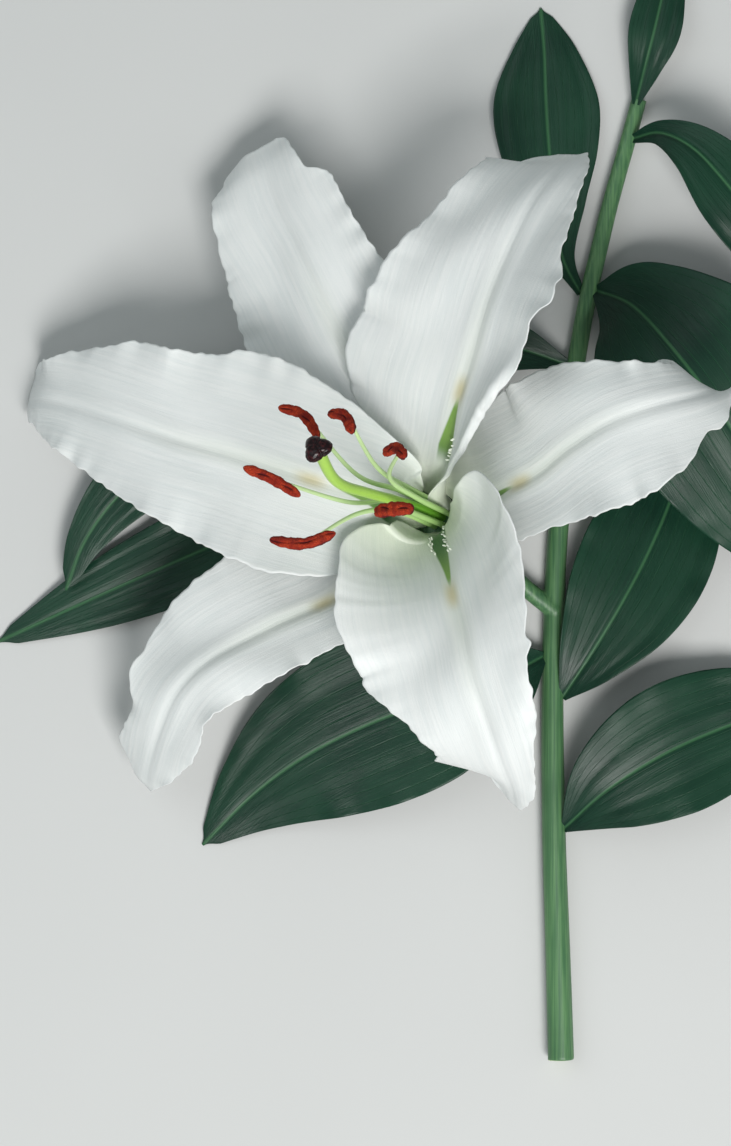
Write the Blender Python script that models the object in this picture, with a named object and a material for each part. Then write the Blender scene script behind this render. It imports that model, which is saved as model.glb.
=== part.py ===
"""White Oriental lily, as picked: one open bloom on its leafy stem, laid on a flat surface with the bloom facing up.

Lengths below are in millimetres and angles in degrees, turned into metres where a mesh is made.
+Z points up from the surface and +Y runs along the stem towards its tip. Places are given from the spot under the
stem where the flower stalk leaves it; the part's origin is the middle of its footprint on the surface.
"""

import math

import bmesh
import bpy
import numpy as np
from mathutils import Vector

MM = 0.001
GAP = 0.3

# The middle of the footprint, from the stalk's foot.
ORIGIN = np.array([-40.2, 34.32, 0.0])

# The bloom: where its base sits, the way it faces, and the rings on which its parts stand.
BLOOM = np.array([-35.0, 28.0, 27.0])
FACING = np.array([-0.462, 0.190, 0.866])
INNER_RING = 5.1
OUTER_RING = 7.0
FILAMENT_RING = 3.3
RECEPTACLE_RADIUS = 7.8

# How far up and out from its foot a tepal's midrib has come where the throat begins.
THROAT_UP = 6.5
THROAT_OUT = 2.6
FOOT_LIFT = 0.3

TEPAL_THICK = 0.9
TEPAL_STEPS = 20
TEPAL_COLUMNS = 8
WAVE_LONG = 34.0
WAVE_SHORT = 21.0
TEPAL_WAVE = 1.1

# Each tepal: its place on the ring; the midrib's points past the throat, from the bloom's base; then, at its foot, at
# the throat and at each of those points, the half-width on the side ahead (anticlockwise) and behind, and how far
# each side curls up.
TEPALS = {
    "petal_left": dict(
        ring=INNER_RING, azimuth=172,
        midrib=[(-15.5, 5.3, 8.6), (-21, 8.5, 13), (-41.5, 15, 17), (-61.5, 21.5, 15), (-80, 26.5, 10),
                (-96, 32, 3), (-111, 37, -6), (-121, 39, -15), (-125, 38.5, -26.5)],
        ahead=[3.1, 4.4, 9, 19, 31, 32, 28, 24, 18, 12, 2],
        behind=[3.1, 4.6, 9, 13, 26, 29, 26, 22, 16, 11, 2],
        curl_ahead=[38, 46, 42, 36, 26, 14, 8, 4, 0, -10, 0],
        curl_behind=[38, 40, 37, 34, 24, 16, 10, 6, 6, 0, 0],
    ),
    "petal_upper": dict(
        ring=INNER_RING, azimuth=62,
        midrib=[(2, 22.5, 20), (4.5, 34.5, 26), (8.5, 47.5, 31), (13.5, 65, 34),
                (19.5, 79.5, 33), (26.5, 92, 29), (35, 102.5, 22), (40.5, 108, 12)],
        ahead=[3.1, 4.6, 30, 40, 38, 33, 27, 20, 13, 2],
        behind=[3.1, 9, 18.5, 24, 23, 23, 20, 16, 11, 2],
        curl_ahead=[38, 42, 12, 14, 12, 10, 5, 0, -5, 0],
        curl_behind=[38, 92, 82, 66, 50, 30, 15, 10, 0, 0],
    ),
    "petal_lower": dict(
        ring=INNER_RING, azimuth=290,
        midrib=[(-0.8, -6.3, 11), (0, -10, 16.5), (1.5, -16.5, 26), (3, -25.5, 35), (5.5, -35.5, 42), (8, -47, 46), (11.5, -58, 46),
                (16, -69.5, 42), (19.5, -78.5, 34), (22, -85, 23)],
        ahead=[3.1, 6, 16, 25, 37, 33, 26, 21, 18, 14, 9, 2],
        behind=[3.1, 11.5, 25, 32, 37, 38, 35, 31, 24, 17, 10, 2],
        curl_ahead=[38, 50, 70, 80, 64, 44, 20, 5, 0, -5, -5, 0],
        curl_behind=[38, 100, 118, 108, 84, 46, 16, 0, 0, 0, 0, 0],
    ),
    "sepal_upper_left": dict(
        ring=OUTER_RING, azimuth=118,
        midrib=[(-19.5, 34.5, 5), (-33, 60, 3), (-39.5, 73, 2), (-44, 82, 0), (-50, 93, -4), (-53.5, 104, -9),
                (-55.5, 111, -15)],
        ahead=[3.2, 4.6, 18, 26, 25, 24, 20, 13, 2],
        behind=[3.2, 4.6, 17, 25, 24, 22, 20, 14, 2],
        curl_ahead=[32, 20, 10, 8, 8, 8, 10, 15, 0],
        curl_behind=[32, 20, 10, 8, 8, 8, 10, 15, 0],
    ),
    "sepal_right": dict(
        ring=OUTER_RING, azimuth=5,
        midrib=[(13, 4.5, 13), (19, 8, 20), (27.5, 12.5, 29), (36, 19.5, 37), (47.5, 26.5, 43), (60, 31, 46),
                (72, 34, 43), (80.5, 36, 35), (84, 35.5, 25)],
        ahead=[3.2, 7.5, 23, 28, 30, 28, 24, 20, 16, 11, 2],
        behind=[3.2, 4.6, 9, 15, 24, 26, 25, 22, 17, 11, 2],
        curl_ahead=[32, 26, 18, 12, 5, 0, -5, -8, -5, 0, 0],
        curl_behind=[32, 20, 15, 10, 5, 0, 0, 0, 0, 0, 0],
    ),
    "sepal_lower_left": dict(
        ring=OUTER_RING, azimuth=228,
        midrib=[(-18, -12.5, 4.5), (-31.5, -23.5, 9), (-50.5, -32.5, 13), (-67.5, -42, 13), (-78, -52, 9),
                (-84.5, -64, 3), (-87.5, -74.5, -5), (-89, -81, -12)],
        ahead=[3.2, 4.6, 10, 16, 20, 19, 16, 13, 9, 2],
        behind=[3.2, 4.3, 10, 17, 24, 23, 19, 13, 9, 2],
        curl_ahead=[32, 24, 16, 10, 5, 0, 0, 0, 0, 0],
        curl_behind=[32, 6, 0, 0, 0, 0, 0, 0, 0, 0],
    ),
}


def unit(v):
    v = np.asarray(v, float)
    return v / np.linalg.norm(v, axis=-1, keepdims=True)


def spline(points, count):
    """count rows at even spacing along a smooth curve through the given points (Catmull-Rom). Columns past the first
    three ride along."""
    p = np.asarray(points, float)
    p = np.vstack([2 * p[0] - p[1], p, 2 * p[-1] - p[-2]])
    fine = []
    for a, b, c, d in zip(p, p[1:], p[2:], p[3:]):
        for s in np.linspace(0, 1, 24, endpoint=False):
            fine.append(0.5 * (2 * b + (c - a) * s + (2 * a - 5 * b + 4 * c - d) * s**2 + (3 * b - a - 3 * c + d) * s**3))
    fine = np.array(fine + [p[-2]])
    run = np.concatenate([[0], np.cumsum(np.linalg.norm(np.diff(fine[:, :3], axis=0), axis=1))])
    even = np.linspace(0, run[-1], count)
    return np.column_stack([np.interp(even, run, fine[:, i]) for i in range(fine.shape[1])])


def across(axis):
    """Two directions at right angles to axis and to each other; azimuth 0 is the first, on the +X side."""
    first = unit(np.array([1.0, 0, 0]) - axis[0] * axis)
    return first, np.cross(axis, first)


AXIS = unit(FACING)
SIDE, OTHER_SIDE = across(AXIS)


def outward(azimuth):
    """The direction straight out from the bloom's axis at that azimuth."""
    a = math.radians(azimuth)
    return SIDE * math.cos(a) + OTHER_SIDE * math.sin(a)


def mesh_object(name, points, faces, colour, roughness):
    """A closed solid from points in millimetres, with its own material."""
    shape = bmesh.new()
    corners = [shape.verts.new(Vector(p - ORIGIN) * MM) for p in np.asarray(points, float)]
    for face in faces:
        shape.faces.new([corners[i] for i in face])
    bmesh.ops.recalc_face_normals(shape, faces=shape.faces)
    mesh = bpy.data.meshes.new(name)
    shape.to_mesh(mesh)
    shape.free()
    mesh.shade_smooth()
    mesh.set_sharp_from_angle(angle=math.radians(50))
    material = bpy.data.materials.new(name)
    material.use_nodes = True
    surface = material.node_tree.nodes["Principled BSDF"]
    surface.inputs["Base Color"].default_value = (*colour, 1)
    surface.inputs["Roughness"].default_value = roughness
    mesh.materials.append(material)
    made = bpy.data.objects.new(name, mesh)
    bpy.context.scene.collection.objects.link(made)
    return made


def blade_sheet(stations, steps, columns, up, wave_height, phase):
    """Points and normals of a curved blade, (steps + 1) x (columns + 1). A station is a point, the half-widths ahead
    and behind, and the angles to which both sides curl."""
    rows = spline(stations, steps + 1)
    middle = rows[:, :3]
    along = unit(np.gradient(middle, axis=0))
    aside = unit(np.cross(up, along))
    face = np.cross(along, aside)
    share = np.linspace(0, 1, steps + 1)
    run = share * np.linalg.norm(np.diff(middle, axis=0), axis=1).sum()
    points = np.empty((steps + 1, columns + 1, 3))
    for j, u in enumerate(np.linspace(-1, 1, columns + 1)):
        ahead = u > 0
        width = rows[:, 3 if ahead else 4]
        curl = np.radians(rows[:, 5 if ahead else 6])
        curl = np.where(abs(curl) < 0.01, 0.01, curl)
        reach = width * np.sin(curl * abs(u)) / curl
        lift = width * (1 - np.cos(curl * abs(u))) / curl
        turn = phase + (1.7 if ahead else 0)
        ripple = np.sin(2 * math.pi * run / WAVE_LONG + turn) + 0.6 * np.sin(2 * math.pi * run / WAVE_SHORT + 2 * turn)
        lift = lift + wave_height * ripple * abs(u) ** 3 * np.sin(math.pi * np.clip(share * 1.15 - 0.12, 0, 1)) ** 0.7
        points[:, j] = middle + aside * (np.sign(u) * reach)[:, None] + face * lift[:, None]
    normals = unit(np.cross(np.gradient(points, axis=0), np.gradient(points, axis=1)))
    return points, normals


def blade(name, stations, steps, columns, up, thick, colour, wave_height=0.0, phase=0.0, floor=None):
    """A thin solid on both sides of a curved sheet, split into triangles alike on both faces."""
    sheet, normals = blade_sheet(stations, steps, columns, up, wave_height, phase)
    thinning = 1 - 0.3 * abs(np.linspace(-1, 1, columns + 1)) ** 3
    half = normals * (thick / 2 * thinning)[None, :, None]
    front = sheet + half
    back = sheet - half
    if floor is not None:
        lowest = np.minimum(front[..., 2], back[..., 2])
        rise = np.maximum(floor - lowest, 0)[..., None] * np.array([0, 0, 1.0])
        front = front + rise
        back = back + rise
    count = (steps + 1) * (columns + 1)
    points = np.vstack([front.reshape(-1, 3), back.reshape(-1, 3)])

    def at(i, j, side):
        return side * count + i * (columns + 1) + j

    faces = []
    for i in range(steps):
        for j in range(columns):
            corner = [(i, j), (i + 1, j), (i + 1, j + 1), (i, j + 1)]
            for side in (0, 1):
                a, b, c, d = (at(*p, side) for p in corner)
                faces += [(a, b, c), (a, c, d)]
    rim = [(i, 0) for i in range(steps)] + [(steps, j) for j in range(columns)]
    rim += [(i, columns) for i in range(steps, 0, -1)] + [(0, j) for j in range(columns, 0, -1)]
    for p, q in zip(rim, rim[1:] + rim[:1]):
        a, b, c, d = at(*p, 0), at(*q, 0), at(*q, 1), at(*p, 1)
        faces += [(a, b, c), (a, c, d)]
    return mesh_object(name, points, faces, colour, 0.5)


def rings(centres, radii, sides, up=(0, 0, 1), shape=None):
    """Rings of points round a line. shape(angle) scales the radius round each ring."""
    centres = np.asarray(centres, float)
    along = unit(np.gradient(centres, axis=0))
    aside = unit(np.cross(up, along))
    over = np.cross(along, aside)
    turns = 2 * math.pi * (np.arange(sides) + 0.5) / sides + math.pi / 2
    rounds = []
    for centre, a, o, radius in zip(centres, aside, over, radii):
        scale = np.ones(sides) if shape is None else shape(turns)
        ring = np.outer(np.cos(turns) * scale, a) + np.outer(np.sin(turns) * scale, o)
        rounds.append(centre + radius * ring)
    return rounds


def tube(name, centres, radii, sides, colour, roughness=0.5, up=(0, 0, 1), shape=None):
    """A closed round solid along a line, with flat ends."""
    rounds = rings(centres, radii, sides, up, shape)
    points = np.vstack(rounds)
    faces = [tuple(range(sides)), tuple(range(len(points) - sides, len(points)))]
    for i in range(len(rounds) - 1):
        for j in range(sides):
            k = (j + 1) % sides
            a, b = i * sides + j, i * sides + k
            faces.append((a, b, b + sides, a + sides))
    return mesh_object(name, points, faces, colour, roughness)

PETAL_WHITE = (0.86, 0.88, 0.85)
LEAF_GREEN = (0.03, 0.10, 0.045)
STEM_GREEN = (0.10, 0.22, 0.08)
PALE_GREEN = (0.45, 0.62, 0.22)
RUST = (0.42, 0.06, 0.02)
DARK_PLUM = (0.06, 0.02, 0.03)

# The stem's middle line on the surface, and its radius from the cut end to the tip.
STEM_LINE = [(2, -137.5), (1, -104), (0, -73.5), (-0.5, -45), (-0.5, -21.5), (0, 0), (1, 21.5), (3.5, 46), (6, 70.5),
             (9.5, 91.5), (13, 107), (17.5, 125.5), (22.5, 143), (26, 156)]
STEM_FOOT_RADIUS = 4.2
STEM_TIP_RADIUS = 2.5
STEM_SIDES = 12
STEM_STEPS = 26

# The flower stalk, from inside the stem to the bloom's base, and its radius.
STALK_LINE = [(0.5, -0.5, 3.7), (-8, 6, 5.5), (-18.5, 15.5, 8.5), (-26.5, 22.5, 12.5)]
STALK_RADIUS = 2.6

# Each stamen: its place on the ring, the middle of its anther from the bloom's base, the way the anther points and
# bows, its length, half its width, and how far the filament sags aside.
STAMENS = {
    "left_high": dict(azimuth=118, middle=(-41, 28, 51), points=(0.68, -0.53, 0.50), bow=(0.6, 0.9, 0),
                      length=17.5, radius=1.65, sag=(-1, -3, 0)),
    "high": dict(azimuth=62, middle=(-29, 27.5, 58), points=(0.50, -0.42, 0.76), bow=(0.5, 0.9, 0),
                 length=14.5, radius=1.75, sag=(-0.5, -1, 0)),
    "right_high": dict(azimuth=8, middle=(-14, 18, 69), points=(0.44, -0.12, 0.88), bow=(0.3, 0.9, 0),
                       length=13.5, radius=1.7, sag=(-2, 0, 0)),
    "left": dict(azimuth=172, middle=(-49.5, 10, 51), points=(0.88, -0.45, 0.15), bow=(0.1, 0.3, -0.3),
                 length=19, radius=1.7, sag=(0.5, -4, 0)),
    "left_low": dict(azimuth=232, middle=(-40.5, -7.7, 60), points=(0.98, 0.10, 0.12), bow=(0.1, -0.9, 0.1),
                     length=19.5, radius=1.8, sag=(0, 0, 0)),
    "right_low": dict(azimuth=297, middle=(-14.5, 1.2, 72), points=(0.70, 0.05, 0.70), bow=(0, 0.2, 0.4),
                      length=15.5, radius=2.1, sag=(0, 0, 0)),
}
FILAMENT_BASE_RADIUS = 0.95
FILAMENT_TIP_RADIUS = 0.5
FILAMENT_SPREAD = 0.45
ANTHER_FLATNESS = 0.77
ANTHER_BOW = 1.6

PISTIL_LINE = [(-3, 1.2, 5.5), (-9.6, 3.6, 17.3), (-21.5, 6.4, 37.5), (-31, 9.6, 53.5)]
OVARY_RADIUS = 1.7
STYLE_RADIUS = 1.5
STIGMA_MIDDLE = (-36.4, 18.6, 67.6)
STIGMA_RADIUS = 3.8
STIGMA_FLATNESS = 0.7
STIGMA_ROWS = 8
STIGMA_SIDES = 18

# Each leaf: how far up the stem it grows, then, from there to the tip, points of its midrib and the half-width at each.
LEAF_THICK = 0.8
LEAF_FOOT = 1.2
LEAF_STEPS = 14
LEAF_COLUMNS = 6
LEAVES = {
    "leaf_1_right_foot": [-67, (16, -54.5, 12, 14), (32.5, -44, 13, 20), (49.5, -36.5, 10, 19),
                          (66.5, -31, 6, 13), (82, -27.5, 0.4, 1.5)],
    "leaf_2_right_low": [-27, (10, -15, 8, 10), (20, 1.5, 9, 18), (29, 18.5, 7, 20), (36.5, 36.5, 4, 16),
                         (41.5, 55, 2, 9), (44, 67, 0.4, 1.5)],
    "leaf_3_left_low": [-14, (-17.5, -21, 11, 15), (-35.5, -27, 13, 24), (-55, -34, 11, 26), (-75, -44, 8, 22),
                        (-92, -56.5, 4, 13), (-107.5, -72, 0.4, 1.5)],
    "leaf_4_left": [50, (-17.5, 47, 6, 9), (-48, 39.5, 5, 14), (-78.5, 30, 4, 15), (-109, 17.5, 4, 14),
                    (-139.5, 4, 3, 10), (-170.5, -10, 0.4, 1.5)],
    "leaf_5_left_high": [74.5, (-17.5, 80.5, 7, 9), (-48, 76.5, 8, 13), (-78, 68, 8, 14), (-108.5, 54, 7, 13),
                         (-130, 37.5, 8, 10), (-142.5, 22, 7.5, 6), (-149, 6, 6, 1.5)],
    "leaf_6_right": [98, (23.5, 92, 14, 16), (35.5, 78, 22, 28), (49, 60, 23, 30), (62.5, 39, 17, 25),
                     (74, 18, 8, 14), (82, -3, 0.4, 1.5)],
    "leaf_7_up": [96, (2.5, 108, 2.5, 4), (0, 124.5, 2.5, 10), (-1.5, 140, 2.5, 15), (-2.5, 155.5, 2, 16),
                  (-3, 171, 1.5, 10), (-4, 184, 0.4, 1.5)],
    "leaf_8_right_top": [144, (32, 144.5, 14, 4), (42, 138.5, 21, 8), (53.5, 125.5, 23, 12), (66, 111.5, 19, 12),
                         (78, 97, 12, 8), (89.5, 82.5, 5, 1.5)],
    "leaf_9_tip": [154, (27.5, 165, 5, 5), (30.5, 177, 7, 8), (34, 192, 5, 6), (37, 206, 2, 1)],
}


def stem_radius(share):
    return STEM_FOOT_RADIUS + (STEM_TIP_RADIUS - STEM_FOOT_RADIUS) * share


def stem_rounds():
    """The stem's middle points, which stand a flat facet's distance over the surface, and its radii."""
    flat = spline([(x, y, 0) for x, y in STEM_LINE], STEM_STEPS + 1)
    radii = stem_radius(np.linspace(0, 1, STEM_STEPS + 1))
    flat[:, 2] = radii * math.cos(math.pi / STEM_SIDES)
    return flat, radii


def make_stem():
    """The stem, with the flower stalk and the bloom's base grown from it, in one solid."""
    centres, radii = stem_rounds()
    stem = tube("stem", centres, radii, STEM_SIDES, STEM_GREEN)
    base = BLOOM - AXIS * 9
    stalk_points = spline([*STALK_LINE, base], 13)
    stalk_radii = np.full(13, STALK_RADIUS)
    flare = [(6, 3.4), (4.4, 5.0), (3, 6.6), (1.8, RECEPTACLE_RADIUS), (0, RECEPTACLE_RADIUS)]
    for depth, radius in flare:
        stalk_points = np.vstack([stalk_points, BLOOM - AXIS * depth])
        stalk_radii = np.append(stalk_radii, radius)
    stalk = tube("stalk_helper", stalk_points, stalk_radii, STEM_SIDES, STEM_GREEN, up=OTHER_SIDE)
    stalk.hide_render = True
    stalk.display_type = "WIRE"
    join = stem.modifiers.new("stalk", "BOOLEAN")
    join.operation = "UNION"
    join.object = stalk


def make_tepal(name, ring, azimuth, midrib, ahead, behind, curl_ahead, curl_behind):
    out = outward(azimuth)
    base = out * ring + AXIS * (GAP + FOOT_LIFT)
    throat = base + AXIS * THROAT_UP + out * THROAT_OUT
    line = [tuple(BLOOM + np.array(p)) for p in [base, throat, *midrib]]
    stations = [(*p, *rest) for p, *rest in zip(line, ahead, behind, curl_ahead, curl_behind)]
    blade(name, stations, TEPAL_STEPS, TEPAL_COLUMNS, AXIS, TEPAL_THICK, PETAL_WHITE, TEPAL_WAVE, azimuth, floor=0.0)


def make_stamen(name, azimuth, middle, points, bow, length, radius, sag):
    out = outward(azimuth)
    middle = BLOOM + np.array(middle)
    base = BLOOM + out * FILAMENT_RING + AXIS * GAP
    pointing = unit(points)
    under = unit(AXIS - (AXIS @ pointing) * pointing)
    bend = np.array(bow) * ANTHER_BOW
    slant = np.linalg.norm(np.cross(unit(middle - base), under))
    end = middle + bend * 0.5 - under * (radius * ANTHER_FLATNESS + GAP + FILAMENT_TIP_RADIUS * slant)
    reach = np.linalg.norm(end - base)
    parting = base + (AXIS * reach * (1 - FILAMENT_SPREAD) + (end - base) * FILAMENT_SPREAD) * 0.66 + sag
    line = spline([base, base + AXIS * reach / 3 + out * 0.6, parting, end], 13)
    radii = np.linspace(FILAMENT_BASE_RADIUS, FILAMENT_TIP_RADIUS, 13)
    tube("filament_" + name, line, radii, 6, PALE_GREEN, up=OTHER_SIDE)
    half = pointing * length / 2
    body = spline([middle - half - bend, middle + bend * 0.5, middle + half - bend], 9)
    swell = radius * np.sqrt(np.clip(1 - np.linspace(-0.985, 0.985, 9) ** 4, 0.05, 1))

    def two_lobes(turns):
        return 0.72 + 0.28 * np.abs(np.cos(turns))

    tube("anther_" + name, body, swell, 8, RUST, 0.9, up=AXIS, shape=two_lobes)


def make_pistil():
    facing = unit(np.array(STIGMA_MIDDLE) - PISTIL_LINE[-1])
    underside = STIGMA_RADIUS * STIGMA_FLATNESS * math.cos(math.pi / STIGMA_ROWS)
    line = spline([AXIS * GAP, *PISTIL_LINE, STIGMA_MIDDLE - facing * (underside + GAP)], 19) + BLOOM
    share = np.linspace(0, 1, 19)
    radii = np.where(share < 0.26, OVARY_RADIUS, STYLE_RADIUS - 0.25 * np.sin(math.pi * share))
    tube("pistil", line, radii, 8, PALE_GREEN, up=OTHER_SIDE)
    first, second = across(facing)
    points, faces = [], []
    rows, sides = STIGMA_ROWS, STIGMA_SIDES
    for i in range(1, rows):
        tilt = math.pi * i / rows
        for j in range(sides):
            turn = 2 * math.pi * j / sides
            radius = STIGMA_RADIUS * (1 + 0.22 * math.cos(3 * turn) * math.sin(tilt))
            flat = (first * math.cos(turn) + second * math.sin(turn)) * math.sin(tilt) * radius
            points.append(BLOOM + STIGMA_MIDDLE + flat + facing * math.cos(tilt) * STIGMA_RADIUS * STIGMA_FLATNESS)
    for i in range(rows - 2):
        for j in range(sides):
            k = (j + 1) % sides
            faces.append((i * sides + j, i * sides + k, (i + 1) * sides + k, (i + 1) * sides + j))
    faces += [tuple(range(sides)), tuple(range(len(points) - sides, len(points)))]
    mesh_object("stigma", points, faces, DARK_PLUM, 0.3)


def make_leaf(name, foot, *rest):
    """A leaf whose narrow base stands off the stem by the gap, on the side that it grows to."""
    centres, radii = stem_rounds()
    node = np.array([np.interp(foot, centres[:, 1], column) for column in centres.T])
    along = unit(node - [np.interp(foot - 1, centres[:, 1], column) for column in centres.T])
    heading = unit(np.array(rest[0][:3]) - node)
    beside = unit(heading - (heading @ along) * along)
    clear = np.interp(foot, centres[:, 1], radii) + GAP + LEAF_FOOT * abs(heading @ along)
    base = node + beside * clear
    stations = [(*base, LEAF_FOOT, LEAF_FOOT, 40, 40)]
    for x, y, z, half in rest:
        share = len(stations) / len(rest)
        curl = 26 - 34 * share
        stations.append((x, y, z, half, half, curl, curl))
    blade(name, stations, LEAF_STEPS, LEAF_COLUMNS, np.array([0, 0, 1.0]), LEAF_THICK, LEAF_GREEN, 0.4, len(name), 0.0)


def main():
    for old in list(bpy.data.objects):
        bpy.data.objects.remove(old)
    make_stem()
    for name, shape in TEPALS.items():
        make_tepal(name, **shape)
    for name, shape in STAMENS.items():
        make_stamen(name, **shape)
    make_pistil()
    for name, line in LEAVES.items():
        make_leaf(name, *line)


main()
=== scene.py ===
"""White Oriental lily, as picked: the look of the open bloom and its leafy stem, laid on a pale surface.

Lengths are in millimetres unless a name says otherwise, and turned into metres where a mesh is made.
Places are given from the spot under the stem where the flower stalk leaves it, as in the part.
"""

import math

import bmesh
import bpy
import numpy as np
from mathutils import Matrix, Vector


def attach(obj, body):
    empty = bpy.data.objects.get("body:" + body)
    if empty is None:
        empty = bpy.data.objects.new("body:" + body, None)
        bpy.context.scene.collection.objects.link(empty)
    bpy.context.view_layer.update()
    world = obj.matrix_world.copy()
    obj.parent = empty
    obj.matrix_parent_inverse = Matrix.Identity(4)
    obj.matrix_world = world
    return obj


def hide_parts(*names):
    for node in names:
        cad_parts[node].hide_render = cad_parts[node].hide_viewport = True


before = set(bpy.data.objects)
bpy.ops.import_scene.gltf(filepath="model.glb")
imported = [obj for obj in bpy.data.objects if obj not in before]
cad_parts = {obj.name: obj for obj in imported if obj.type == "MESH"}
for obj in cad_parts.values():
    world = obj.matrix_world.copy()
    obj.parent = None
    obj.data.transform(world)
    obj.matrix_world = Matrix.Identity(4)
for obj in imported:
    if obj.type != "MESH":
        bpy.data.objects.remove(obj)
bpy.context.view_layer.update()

MM = 0.001
GAP = 0.3
FLOOR_CLEARANCE = 0.05
UP = (0, 0, 1)

# The middle of the footprint, from the stalk's foot.
ORIGIN = np.array([-40.2, 34.32, 0.0])

# The bloom: where its base sits, the way it faces, and the rings on which its parts stand.
BLOOM = np.array([-35.0, 28.0, 27.0])
FACING = np.array([-0.462, 0.190, 0.866])
INNER_RING = 5.1
OUTER_RING = 7.0
FILAMENT_RING = 3.3
RECEPTACLE_RADIUS = 7.8

# How far up and out from its foot a tepal's midrib has come where the throat begins.
THROAT_UP = 6.5
THROAT_OUT = 2.6
FOOT_LIFT = 0.3

# Each tepal: its ring and its place on that; for its foot and for the throat, the half-widths on the side
# ahead (anticlockwise) and behind, and how far each curls up; then its midrib's points past the throat, from
# the bloom's base, with the same four. They are the part's, but for some near the throat, where the visible
# blades are wider or curl less.
TEPALS = {
    "petal_left": [
        INNER_RING, 172, (3.1, 3.1, 38, 38), (6, 6.5, 46, 40), (-15.5, 5.3, 8.6, 13, 14, 42, 37),
        (-21, 8.5, 13, 22, 20, 36, 34), (-41.5, 15, 17, 31, 27, 26, 24), (-61.5, 21.5, 15, 32, 29, 14, 16),
        (-80, 26.5, 10, 28, 26, 8, 10), (-96, 32, 3, 24, 22, 4, 6), (-111, 37, -6, 18, 16, 0, 6),
        (-121, 39, -15, 12, 11, -10, 0), (-125, 38.5, -26.5, 2, 2, 0, 0),
    ],
    "petal_upper": [
        INNER_RING, 62, (3.1, 3.1, 38, 38), (4.6, 9, 42, 92), (2, 22.5, 20, 30, 18.5, 12, 82),
        (4.5, 34.5, 26, 40, 24, 14, 66), (8.5, 47.5, 31, 38, 23, 12, 50), (13.5, 65, 34, 33, 23, 10, 30),
        (19.5, 79.5, 33, 27, 20, 5, 15), (26.5, 92, 29, 20, 16, 0, 10), (35, 102.5, 22, 13, 11, -5, 0),
        (40.5, 108, 12, 2, 2, 0, 0),
    ],
    "petal_lower": [
        INNER_RING, 290, (3.1, 3.1, 38, 38), (6, 9, 50, 80), (-0.8, -6.3, 11, 16, 20, 70, 95),
        (0, -10, 16.5, 25, 29, 80, 96), (1.5, -16.5, 26, 37, 36, 64, 80), (3, -25.5, 35, 33, 38, 44, 46),
        (5.5, -35.5, 42, 26, 35, 20, 16), (8, -47, 46, 21, 31, 5, 0), (11.5, -58, 46, 18, 24, 0, 0),
        (16, -69.5, 42, 14, 17, -5, 0), (19.5, -78.5, 34, 9, 10, -5, 0), (22, -85, 23, 2, 2, 0, 0),
    ],
    "sepal_upper_left": [
        OUTER_RING, 118, (3.2, 3.2, 32, 32), (4.6, 4.6, 20, 20), (-19.5, 34.5, 5, 18, 17, 10, 10),
        (-33, 60, 3, 26, 25, 8, 8), (-39.5, 73, 2, 25, 24, 8, 8), (-44, 82, 0, 24, 22, 8, 8),
        (-50, 93, -4, 20, 20, 10, 10), (-53.5, 104, -9, 13, 14, 15, 15), (-55.5, 111, -15, 2, 2, 0, 0),
    ],
    "sepal_right": [
        OUTER_RING, 5, (3.2, 3.2, 32, 32), (11, 4.6, 26, 20), (13, 4.5, 13, 24, 9, 18, 15),
        (19, 8, 20, 26, 15, 12, 10), (27.5, 12.5, 29, 29, 24, 5, 5), (36, 19.5, 37, 28, 26, 0, 0),
        (47.5, 26.5, 43, 24, 25, -5, 0), (60, 31, 46, 20, 22, -8, 0), (72, 34, 43, 16, 17, -5, 0),
        (80.5, 36, 35, 11, 11, 0, 0), (84, 35.5, 25, 2, 2, 0, 0),
    ],
    "sepal_lower_left": [
        OUTER_RING, 228, (3.2, 3.2, 32, 32), (4.6, 4.3, 24, 6), (-18, -12.5, 4.5, 10, 10, 16, 0),
        (-31.5, -23.5, 9, 16, 17, 10, 0), (-50.5, -32.5, 13, 20, 24, 5, 0), (-67.5, -42, 13, 19, 23, 0, 0),
        (-78, -52, 9, 16, 19, 0, 0), (-84.5, -64, 3, 13, 13, 0, 0), (-87.5, -74.5, -5, 9, 9, 0, 0),
        (-89, -81, -12, 2, 2, 0, 0),
    ],
}

# The stem's middle line on the surface, and its radius from the cut end to the tip.
STEM_LINE = [(2, -137.5), (1, -104), (0, -73.5), (-0.5, -45), (-0.5, -21.5), (0, 0), (1, 21.5), (3.5, 46),
             (6, 70.5), (9.5, 91.5), (13, 107), (17.5, 125.5), (22.5, 143), (26, 156)]
STEM_FOOT_RADIUS = 4.2
STEM_TIP_RADIUS = 2.5
STEM_SIDES = 12
STEM_STEPS = 26
STEM_FOOT_Y = STEM_LINE[0][1] - ORIGIN[1]

# The flower stalk, from inside the stem to the bloom's base, and its radius.
STALK_LINE = [(0.5, -0.5, 3.7), (-8, 6, 5.5), (-18.5, 15.5, 8.5), (-26.5, 22.5, 12.5)]
STALK_RADIUS = 2.6

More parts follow.
